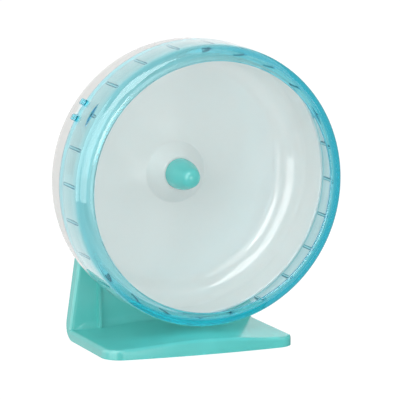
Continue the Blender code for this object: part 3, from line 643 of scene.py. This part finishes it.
class HAMSTERWHEEL_OT_ring(bpy.types.Operator):
    """Clear ring: rolled lip, running wall, rungs, latch teeth and latch slots"""

    bl_idname = "hamster_wheel.ring"
    bl_label = "Clear ring"

    def execute(self, context):
        sizes = context.scene.hamster_wheel_sizes
        radius = sizes.wheel_radius
        bead = sizes.lip_thickness / 2
        centre = radius - sizes.lip_reach + bead
        roll = radius - centre
        inside = radius - sizes.ring_wall
        edge = 0.0004
        profile = arc((centre, roll), roll, -90, 0, 16)
        profile += arc((radius - edge, sizes.ring_depth - edge), edge, 0, 90, 3)
        profile += arc((inside + edge, sizes.ring_depth - edge), edge, 90, 180, 3)
        swell = sizes.lip_taper - sizes.lip_thickness
        profile += [(centre + (inside - centre) * across, sizes.lip_taper + swell * forward)
                    for across, forward in arc((0, 0), 1, 0, -90, 24)]
        profile += arc((centre, bead), bead, 90, 270, 10)[1:-1]
        ring = turned("ring_moulding", profile, sizes.turn_steps)

        turns = [RUNG_TURN + math.tau * index / sizes.rung_count for index in range(sizes.rung_count)]
        meeting = 0.999      # cosine of the turn between a rung and a latch that would meet
        short = [turn for turn in turns if any(math.cos(turn - latch) > meeting for latch in LATCH_TURNS)]
        plain = [turn for turn in turns if turn not in short]
        front, back, short_back = 0.0120, 0.0350, 0.0175
        for name, chosen, end in (("rungs", plain, back), ("short_rungs", short, short_back)):
            thick = sizes.rung_height + BITE
            rung = self.rung(name, thick, sizes.rung_width, end - front)
            middle = inside - sizes.rung_height + thick / 2
            places = [around(turn, middle, (front + end) / 2) for turn in chosen]
            combine(ring, copies(rung, places), "UNION")

        height, width, length, soft = 0.0021, 0.0046, 0.0090, 0.0007
        spacing = 0.0132     # between the two teeth of a latch
        ahead = 0.0010       # how far their middle lies in front of the seam
        tooth = block("latch_tooth", (height + BITE, width, length), soft, 4)
        middle = radius - BITE + (height + BITE) / 2
        places = []
        for turn in LATCH_TURNS:
            for side in (-1, 1):
                across = Matrix.Translation((0, side * spacing / 2, 0))
                places.append(around(turn, middle, sizes.ring_depth - ahead) @ across)
        combine(ring, copies(tooth, places), "UNION")

        slot = self.lens("latch_slot", sizes.slot_length, sizes.slot_width)
        outwards = Matrix.Rotation(math.pi / 2, 4, "Y")
        places = [around(turn, radius, sizes.slot_depth) @ outwards for turn in LATCH_TURNS]
        combine(ring, copies(slot, places))
        pick(ring)
        done(math.radians(35))
        # The lamps light the stand and floor through the wheel, as if from all round
        ring.visible_shadow = False
        dress(ring, "clear_cyan_plastic", "wheel", "clear_ring")
        return {"FINISHED"}

    def rung(self, name, thick, width, length):
        """A bar with round ends and softened edges, thick along x and long along z."""
        soft = 0.0004
        half = length / 2 - width / 2
        outline = arc((0, half), width / 2, 0, 180, 8) + arc((0, -half), width / 2, 180, 360, 8)
        plate(name, outline, 0, thick)
        edit()
        choose("FACE", lambda mesh, face: face.center.z > thick - JOIN)
        bpy.ops.mesh.bevel(offset=soft, segments=3, affect="EDGES")
        # Stands it up with the softened face inwards; this mirrors it, so its faces are turned again
        inwards = Matrix(((0, 0, -1, thick / 2), (1, 0, 0, 0), (0, 1, 0, 0), (0, 0, 0, 1)))
        place(done(), inwards)
        edit()
        clean()
        return done()

    def lens(self, name, length, width):
        """A lens-shaped cutter along z, long across y."""
        half = length / 2
        bow = (half * half + width * width / 4) / width
        sweep = math.degrees(math.asin(half / bow))
        outline = arc((bow - width / 2, 0), bow, 180 - sweep, 180 + sweep, 12)
        outline += arc((width / 2 - bow, 0), bow, -sweep, sweep, 12)[1:-1]
        return plate(name, outline, -OVERRUN, OVERRUN)


class HAMSTERWHEEL_OT_dish(bpy.types.Operator):
    """Milky dish: spigot rim, drafted wall, round corner, coned floor, boss, hub tube and tabs"""

    bl_idname = "hamster_wheel.dish"
    bl_label = "Milky dish"

    def execute(self, context):
        sizes = context.scene.hamster_wheel_sizes
        wall = sizes.dish_wall
        soft = 0.0005
        shell = sizes.wheel_radius - sizes.dish_step
        spigot = sizes.wheel_radius - sizes.ring_wall - 2 * FIT
        spigot_wall, spigot_length, spigot_root = 0.0018, 0.0060, 0.0006
        rim = spigot - spigot_wall
        shoulder = sizes.ring_depth + FIT
        lip = shoulder - spigot_length
        back = 0.0820
        draft = 4.0          # lean of the wall, in degrees
        cone = 0.0035        # how far the floor comes forwards on its way to the boss
        corner_depth = back - sizes.dish_corner
        narrowing = (corner_depth - shoulder) * math.tan(math.radians(draft))
        corner = (shell - narrowing - sizes.dish_corner, corner_depth)

        floor = back - wall - cone
        boss_height, boss, boss_top, edge = 0.0085, 0.0220, 0.0142, 0.0020
        front = floor - boss_height
        bearing_seat, hub_wall, hub_lip, hub_lip_length = 0.01115, 0.0034, 0.0015, 0.0036
        bearing_width, spacer_length = 0.0070, 0.0040
        tube = bearing_seat + hub_wall
        mouth = bearing_seat - hub_lip
        lip_back = front + hub_lip_length
        hub_back = lip_back + 2 * bearing_width + spacer_length + 3 * FIT
        recess = front + 0.0050      # end of the hollow between boss and tube
        outer = arc((spigot - soft, lip + soft), soft, -90, 0, 3) + [(spigot, shoulder)]
        outer += arc((shell - soft, shoulder + soft), soft, -90, draft, 4)
        outer += arc(corner, sizes.dish_corner, draft, 90, 28)
        hub = [(boss, floor + wall), (tube, recess), (tube, hub_back - soft), (tube - soft, hub_back),
               (bearing_seat + soft, hub_back), (bearing_seat, hub_back - soft),
               (bearing_seat, lip_back), (mouth, lip_back), (mouth, front)]
        slope = math.degrees(math.atan2(boss - boss_top, boss_height))
        inner = arc((boss_top - edge, front + edge), edge, -90, -slope, 8)
        inner += arc((boss + edge, floor - edge), edge, 180 - slope, 90, 6)
        inner += arc(corner, sizes.dish_corner - wall, 90, draft, 24)
        inner += [(rim, shoulder + spigot_root), (rim, lip + soft), (rim + soft, lip)]
        dish = turned("dish_moulding", outer + hub + inner, sizes.turn_steps)

        height, width, length, soft = 0.0018, 0.0080, 0.0075, 0.0006
        behind = 0.00045     # how far a tab starts behind the seam
        tab = block("latch_tab", (height + wall / 2, width, length), soft, 4)
        middle = shell + height - (height + wall / 2) / 2
        depth = sizes.ring_depth + behind + length / 2
        places = [around(turn, middle, depth) for turn in LATCH_TURNS]
        combine(dish, copies(tab, places), "UNION")
        pick(dish)
        done(math.radians(35))
        # As for the ring, the lamps light the stand and floor through it
        dish.visible_shadow = False
        dress(dish, "milky_plastic", "wheel", "dish")
        return {"FINISHED"}


class HAMSTERWHEEL_OT_knob(bpy.types.Operator):
    """Bullet-shaped cap over the hub's nut, with its plug"""

    bl_idname = "hamster_wheel.knob"
    bl_label = "Hub cap"

    def execute(self, context):
        sizes = context.scene.hamster_wheel_sizes
        tip = KNOB_LOW.y - FRONT_Y
        length, nose, straight, soft = 0.0272, 0.0082, 0.0030, 0.0005
        plug, plug_wall, plug_length = 0.0095, 0.0013, 0.0022
        base = tip + length
        shoulder = base - straight
        cavity, cavity_bend = plug - plug_wall, 0.0634
        core, core_front = 0.0034, tip + 0.0070
        plug_back = base + plug_length
        profile = arc((0, tip + nose), nose, -90, -15, 14)
        first_radius, first_depth = profile[-1]
        steps, fullness = 18, 0.24
        for step in range(1, steps):
            along = step / steps
            swell = along + fullness * math.sin(along * math.pi)
            profile.append((first_radius + (sizes.knob_radius - first_radius) * swell,
                            first_depth + (shoulder - first_depth) * along))
        profile += [(sizes.knob_radius, shoulder)]
        profile += arc((sizes.knob_radius - soft, base - soft), soft, 0, 90, 4)
        profile += [(plug, base), (plug, plug_back - soft), (plug - soft, plug_back), (cavity, plug_back),
                    (cavity, cavity_bend), (core, core_front), (0, core_front)]
        knob = turned("hub_cap", profile, 96, closed=False)
        dress(knob, "teal_plastic", "wheel", "knob")
        return {"FINISHED"}


class HAMSTERWHEEL_OT_stand(bpy.types.Operator):
    """Stand: crowned base, leaning upright, gussets, ribbed back and the housing of the bolt"""

    bl_idname = "hamster_wheel.stand"
    bl_label = "Stand"

    depth_front = 0.0220     # front of the base at its sides
    bulge = 0.0045           # how much further forwards its middle reaches
    corner = 0.0150          # rounding of the base's front corners, seen from above
    edge_height = 0.0076     # height of the base at its sides
    rise = 0.0040            # how much higher its middle is
    upright = 0.1050         # front of the upright
    back = 0.1150
    wall = 0.0026
    fillet = 0.0050          # between base and upright
    fade = 0.0080            # stretch over which the fillet runs out at the sides
    sharpening = 0.9         # share of a drop of the base's top that its front edge's rounding loses
    heel = 0.0150            # rounding of the base's lower back edge
    draw_in = 0.0013         # how much narrower each side of the base is at the back
    step_in = 0.0002         # how far the upright's foot stands inside the base
    lean = math.radians(8.2)
    top = AXLE_HEIGHT + 0.0300
    top_corner = 0.0280
    outer_bay = 0.0155       # breadth of the stand outside the outermost full bay
    web = 0.0010             # half the thickness of a web
    housing = 0.0150
    housing_root = 0.0190
    housing_start = 0.03545  # from the bolt's tip to the front of its housing
    gussets = (-0.0510, 0, 0.0510)
    gusset_foot = 0.0048
    gusset_height = 0.0700
    gusset = 0.0010          # half the thickness of a gusset
    head_pocket = 0.0105
    head_room = 0.0072       # bolt's head, its washer and their gaps, along the axle
    bolt_hole = 0.0040

    def crown(self, x):
        """Height of the base at one place across it."""
        return self.edge_height + self.rise * (1 + math.cos(math.pi * x / self.half)) / 2

    def bow(self, x):
        """Depth of the base's front edge at one place across it."""
        return self.depth_front - self.bulge * (1 - (x / self.half) ** 2)

    def section(self, x, front, drop):
        """Outline of the base across one place, with its front edge rounded and the upright's fillet."""
        height = self.crown(x) - drop
        edge = self.edge - drop * self.sharpening
        to_side = max(0, self.half - self.draw_in - self.edge - abs(x))
        fillet = max(self.fillet * min(1, to_side / self.fade), BITE)
        points = [(front, -OVERRUN)] + arc((front + edge, height - edge), edge, 180, 90, 6)
        points += arc((self.upright - fillet, height + fillet), fillet, -90, 0, 7)
        back = self.back + OVERRUN
        return points + [(back, height + fillet), (back, -OVERRUN)]

    def stations(self):
        """Places across the base with their sections, closer together round its front corners."""
        inner = self.half - self.corner
        right = []
        for angle in (0, 12, 24, 36, 46, 55, 63, 70, 76, 81, 85, 88, 90):
            x = inner + self.corner * math.sin(math.radians(angle))
            over = max(0, x - self.half + self.edge)
            drop = self.edge - math.sqrt(max(0, self.edge * self.edge - over * over))
            front = self.bow(inner) + self.corner * (1 - math.cos(math.radians(angle)))
            right.append((x, self.section(x, front, drop)))
        middle = []
        for step in range(-9, 10):
            x = inner * (step / 10)
            middle.append((x, self.section(x, self.bow(x), 0)))
        return [(-x, outline) for x, outline in reversed(right)] + middle + right

    def skin(self, name, sections):
        """Draws each (x, outline) as a closed line and bridges them one to the next."""
        begin(name)
        length = self.back - self.depth_front
        for x, outline in sections:
            line = []
            for depth, height in outline:
                along = (depth - self.depth_front) / length
                narrow = 1 - along * self.draw_in / self.half
                line.append(Vector((x * narrow, FRONT_Y + depth, height)))
            draw(line)
        merge()
        count = len(sections[0][1])
        for index in range(len(sections) - 1):
            first, last = index * count, (index + 2) * count
            choose("EDGE", lambda mesh, edge: all(first <= v < last for v in edge.vertices))
            bpy.ops.mesh.bridge_edge_loops()
        for first in (0, (len(sections) - 1) * count):
            choose("EDGE", lambda mesh, edge: all(first <= v < first + count for v in edge.vertices))
            bpy.ops.mesh.edge_face_add()
        clean()
        bpy.ops.mesh.quads_convert_to_tris()
        return done()

    def upright_corners(self, inset):
        """Top and foot of the upright's right side as (point, rounding), moved in by an inset."""
        foot_half = self.half - self.draw_in - self.step_in
        foot = self.crown(foot_half)
        top = self.top - inset
        foot_half -= inset / math.cos(self.lean)
        top_half = foot_half - (top - foot) * math.tan(self.lean)
        return [((top_half, top), self.top_corner - inset), ((foot_half, foot), 0)]

    def both_sides(self, corners, below):
        """An outline seen from the front, from the corners and points of its right side."""
        right = corners + [(point, 0) for point in below]
        left = [((-x, z), radius) for (x, z), radius in reversed(right)]
        return rounded(right + left, 14)

    def plan(self, inset):
        """Outline of the base seen from above, moved in by an inset and open towards the back."""
        half = self.half - inset
        back_half = self.half - self.draw_in - inset
        front = self.bow(self.half - self.corner) + inset
        edge = [((-half, front), self.corner - inset)]
        for step in range(-9, 10):
            x = (self.half - self.corner) * step / 10
            edge.append(((x, self.bow(x) + inset), 0))
        edge.append(((half, front), self.corner - inset))
        back = self.back + 2 * OVERRUN
        return rounded(edge + [((back_half, back), 0), ((-back_half, back), 0)], 10)

    def upright_plate(self):
        """The upright, solid to beyond its back, with its front edges rounded."""
        corners = self.upright_corners(0)
        foot_half = corners[-1][0][0]
        outline = self.both_sides(corners, [(foot_half, self.wall)])
        far_back = self.back + 2 * OVERRUN
        made = front_plate("upright", outline, self.upright, far_back)
        pick(made)
        edit()
        front = FRONT_Y + self.upright
        choose("EDGE", lambda mesh, edge: all(abs(mesh.vertices[v].co.y - front) < JOIN
                                              for v in edge.vertices))
        bpy.ops.mesh.bevel(offset=self.edge, segments=5, affect="EDGES")
        return done()

    def bays(self):
        """The hollows between the webs behind and below."""
        pitch = (self.half - self.outer_bay) / 3
        front = self.depth_front - self.bulge - OVERRUN
        inner_face = self.upright + self.wall
        back = self.back + OVERRUN
        top = self.top + OVERRUN
        made = []
        for bay in range(-4, 4):
            near, far = bay * pitch + self.web, (bay + 1) * pitch - self.web
            sections = []
            for share in (0, 0.25, 0.5, 0.75, 1):
                x = near + (far - near) * share
                roof = self.crown(x) - self.wall
                sections.append((x, [(front, -OVERRUN), (back, -OVERRUN), (back, top),
                                     (inner_face, top), (inner_face, roof), (front, roof)]))
            made.append(self.skin(f"bay_{bay}", sections))
        pick(*made)
        bpy.ops.object.join()
        return bpy.context.object

    def execute(self, context):
        sizes = context.scene.hamster_wheel_sizes
        self.half = sizes.stand_half
        self.edge = sizes.stand_edge
        wide = self.half + OVERRUN
        stand = self.skin("stand_moulding", self.stations())
        combine(stand, self.upright_plate(), "UNION")
        heel = arc((self.back - self.heel, self.heel), self.heel, -90, 0, 14)
        side = [(-OVERRUN, 0)] + heel + [(self.back, self.top + OVERRUN), (-OVERRUN, self.top + OVERRUN)]
        combine(stand, side_plate("side_view", side, -wide, wide), "INTERSECT")

        housing_front = BOLT_LOW.y - FRONT_Y + self.housing_start
        root = self.upright + self.wall / 2
        housing = drum("housing", self.housing_root, housing_front, root, 72, self.housing)
        combine(stand, housing, "UNION")
        for x in self.gussets:
            foot = self.crown(x) - self.wall / 2
            front = self.upright - self.gusset_foot
            outline = [(root, foot), (front, foot), (root, foot + self.gusset_height)]
            gusset = side_plate("gusset", outline, x - self.gusset, x + self.gusset)
            combine(stand, gusset, "UNION")

        bays = self.bays()
        corners = self.upright_corners(self.wall)
        outline = self.both_sides(corners, [(wide, corners[-1][0][1]), (wide, -OVERRUN)])
        far_back = self.back + 2 * OVERRUN
        combine(bays, front_plate("bays_front", outline, -OVERRUN, far_back), "INTERSECT")
        plan = plan_plate("bays_plan", self.plan(self.wall), -2 * OVERRUN, self.top + OVERRUN)
        combine(bays, plan, "INTERSECT")
        combine(bays, drum("housing_keep", self.housing, self.upright, far_back, 56))
        combine(stand, bays)
        pocket = BOLT_HIGH.y - FRONT_Y - self.head_room
        combine(stand, drum("head_pocket", self.head_pocket, pocket, far_back, 64))
        hole_back = far_back + OVERRUN
        combine(stand, drum("bolt_hole", self.bolt_hole, housing_front - OVERRUN, hole_back, 48))
        pick(stand)
        done(math.radians(32))
        dress(stand, "teal_plastic", "stand", "stand")
        return {"FINISHED"}


class HAMSTERWHEEL_OT_hardware(bpy.types.Operator):
    """Finishes of the bolt, nuts, washers and bearings"""

    bl_idname = "hamster_wheel.hardware"
    bl_label = "Bolt and bearings"

    def execute(self, context):
        slots = {row["node"]: row["material_slot"] for row in frame["record"]["subparts"]}
        for name, node in frame["nodes"].items():
            if node.hide_render:
                continue
            node.data.materials.clear()
            node.data.materials.append(finish(slots[name]))
        return {"FINISHED"}


class HAMSTERWHEEL_OT_studio(bpy.types.Operator):
    """Floor, surroundings, cards, lamps and camera"""

    bl_idname = "hamster_wheel.studio"
    bl_label = "Studio"

    def execute(self, context):
        studio = context.scene.hamster_wheel_studio
        scene = context.scene
        scene.view_settings.view_transform = "Standard"
        bounces = 40         # enough for light to cross the ring's walls, rungs and lip
        scene.cycles.max_bounces = bounces
        scene.cycles.glossy_bounces = bounces
        scene.cycles.transmission_bounces = bounces
        self.floor(studio)
        self.surroundings(studio)
        self.card("dark_gloss_card", (-1.8, -4.6, 1.4), 9.0, 9.0, 0.25)
        self.card("right_dark_gloss_card", (3.0, 0.9, 0.1), 5.0, 4.0, 0.08)
        self.card("front_dark_gloss_card", (2.9, -3.0, 0.3), 3.4, 5.0, 0.08)
        self.card("under_dark_gloss_card", (0.5, 0.3, -1.2), 3.0, 3.0, 0.15)
        self.card("dark_clear_card", (-1.6, -4.2, 0.6), 3.2, 3.2, 0.02, clear=True)
        self.card("left_dark_clear_card", (-1.6, 2.6, 0.2), 2.6, 2.6, 0.02, clear=True)
        self.card("front_gloss_card", (0.25, -3.2, 0.35), 1.1, 1.9, 2.6)
        self.card("left_gloss_card", (-2.07, -1.07, 0.75), 2.7, 2.6, 4.2)
        self.card("rear_gloss_card", (-2.2, 1.25, 0.75), 2.0, 2.6, 3.4)
        self.card("top_gloss_card", (-0.9, -1.0, 2.0), 2.0, 1.4, 6.5)
        self.lamp("key_lamp", (-1.8, -1.1, 0.9), 1.4, studio.key)
        self.lamp("top_lamp", (0.3, -0.5, 2.0), 1.0, studio.top)
        self.lamp("front_lamp", (-0.2, -2.0, 0.34), 0.5, studio.front)
        self.lamp("fill_lamp", (1.5, -0.9, 0.9), 0.8, studio.fill)

        azimuth, elevation = studio.azimuth, studio.elevation
        back = Vector((math.sin(azimuth) * math.cos(elevation), -math.cos(azimuth) * math.cos(elevation),
                       math.sin(elevation)))
        right = Vector((math.cos(azimuth), math.sin(azimuth), 0))
        up = back.cross(right)
        aim = AXLE + right * studio.aim_right + up * studio.aim_up
        deselect()
        bpy.ops.object.camera_add(location=aim + back * studio.distance)
        camera = context.object
        camera.name = "photo_camera"
        camera.rotation_euler = Matrix((right, up, back)).transposed().to_euler()
        camera.data.lens = studio.lens
        camera.data.sensor_width = 36
        camera.data.clip_end = 100
        scene.camera = camera
        return {"FINISHED"}

    def seen(self, maker):
        """Two masks: seen by the camera or in gloss, and seen through clear plastic."""
        maths = maker.maths
        path = maker.add("LightPath", {}).outputs
        first = maths("LESS_THAN", path["Diffuse Depth"], 0.5)
        through = maths("MULTIPLY", path["Is Transmission Ray"], first)
        gloss = maths("SUBTRACT", maths("MULTIPLY", path["Is Glossy Ray"], first), through)
        return maths("MAXIMUM", path["Is Camera Ray"], gloss), through

    def card(self, name, spot, width, height, glow, clear=False):
        """Card out of the picture that shows only in gloss or, if clear, only through clear plastic."""
        deselect()
        bpy.ops.mesh.primitive_plane_add(size=1, location=spot)
        card = bpy.context.object
        card.name = name
        card.scale = (width, height, 1)
        card.rotation_euler = (Vector(spot) - AXLE).to_track_quat("Z", "Y").to_euler()
        card.visible_camera = False
        card.visible_diffuse = False
        card.visible_shadow = False
        card.visible_glossy = not clear
        card.visible_transmission = clear
        made, maker, shader = new_material(name)
        maker.fill(shader, {
            "Base Color": (0.02, 0.02, 0.02),
            "Emission Color": (1, 1, 1),
            "Emission Strength": glow,
        })
        card.data.materials.append(made)

    def floor(self, studio):
        """White floor that keeps the stand's soft shadow."""
        deselect()
        bpy.ops.mesh.primitive_plane_add(size=12, location=(0, 0, 0))
        floor = bpy.context.object
        floor.name = "floor"
        made, maker, shader = new_material("white_floor")
        maker.fill(shader, {"Base Color": (0.7, 0.7, 0.7), "Roughness": 0.7})
        glow, share = 1.12, 0.85     # strength of its own light, and its share in what is seen
        straight, through = self.seen(maker)
        dimmed = maker.maths("MULTIPLY", through, studio.backdrop)
        light = maker.add("Emission", {"Strength": maker.maths("MULTIPLY_ADD", straight, glow, dimmed)})
        part = maker.maths("MULTIPLY", maker.maths("MAXIMUM", straight, through), share)
        mix = maker.add("MixShader", {"Fac": part, 1: shader.outputs[0], 2: light.outputs[0]})
        maker.fill(maker.nodes["Material Output"], {"Surface": mix.outputs[0]})
        floor.data.materials.append(made)
        floor.visible_glossy = False

    def surroundings(self, studio):
        """Even light from all round, white to the camera and in gloss, grey through clear plastic."""
        world = bpy.data.worlds.new("studio_surroundings")
        bpy.context.scene.world = world
        world.use_nodes = True
        maker = NodeMaker(world.node_tree)
        straight, through = self.seen(maker)
        level = maker.maths("MULTIPLY_ADD", straight, 1 - studio.ambient, studio.ambient)
        level = maker.maths("MULTIPLY_ADD", through, studio.backdrop - studio.ambient, level)
        maker.fill(maker.nodes["Background"], {"Color": (1, 1, 1), "Strength": level})

    def lamp(self, name, spot, size, power):
        """A soft lamp, a little longer than wide, that faces the axle."""
        deselect()
        bpy.ops.object.light_add(type="AREA", location=spot)
        lamp = bpy.context.object
        lamp.name = name
        lamp.data.shape = "RECTANGLE"
        lamp.data.size = size
        lamp.data.size_y = size * 1.2
        lamp.data.energy = power
        lamp.rotation_euler = (Vector(spot) - AXLE).to_track_quat("Z", "Y").to_euler()


class HAMSTERWHEEL_PT_panel(bpy.types.Panel):
    """Sizes, finishes and the pieces of the wheel"""

    bl_label = "Hamster Wheel"
    bl_idname = "HAMSTERWHEEL_PT_panel"
    bl_space_type = "VIEW_3D"
    bl_region_type = "UI"
    bl_category = "Hamster Wheel"

    def draw(self, context):
        scene = context.scene
        for group in (scene.hamster_wheel_sizes, scene.hamster_wheel_finishes, scene.hamster_wheel_studio):
            column = self.layout.column(align=True)
            for name in group.__annotations__:
                column.prop(group, name)
        for piece in PIECES:
            self.layout.operator(piece.bl_idname)


PIECES = (HAMSTERWHEEL_OT_stand, HAMSTERWHEEL_OT_dish, HAMSTERWHEEL_OT_ring, HAMSTERWHEEL_OT_knob,
          HAMSTERWHEEL_OT_hardware, HAMSTERWHEEL_OT_studio)
GROUPS = (HamsterWheelSizes, HamsterWheelFinishes, HamsterWheelStudio)
CLASSES = GROUPS + PIECES + (HAMSTERWHEEL_PT_panel,)


def register():
    for made in CLASSES:
        bpy.utils.register_class(made)
    bpy.types.Scene.hamster_wheel_sizes = PointerProperty(type=HamsterWheelSizes)
    bpy.types.Scene.hamster_wheel_finishes = PointerProperty(type=HamsterWheelFinishes)
    bpy.types.Scene.hamster_wheel_studio = PointerProperty(type=HamsterWheelStudio)


def unregister():
    del bpy.types.Scene.hamster_wheel_studio
    del bpy.types.Scene.hamster_wheel_finishes
    del bpy.types.Scene.hamster_wheel_sizes
    for made in reversed(CLASSES):
        bpy.utils.unregister_class(made)


def main():
    register()
    bpy.ops.hamster_wheel.stand()
    bpy.ops.hamster_wheel.dish()
    bpy.ops.hamster_wheel.ring()
    bpy.ops.hamster_wheel.knob()
    bpy.ops.hamster_wheel.hardware()
    bpy.ops.hamster_wheel.studio()


if __name__ == "__main__":
    main()
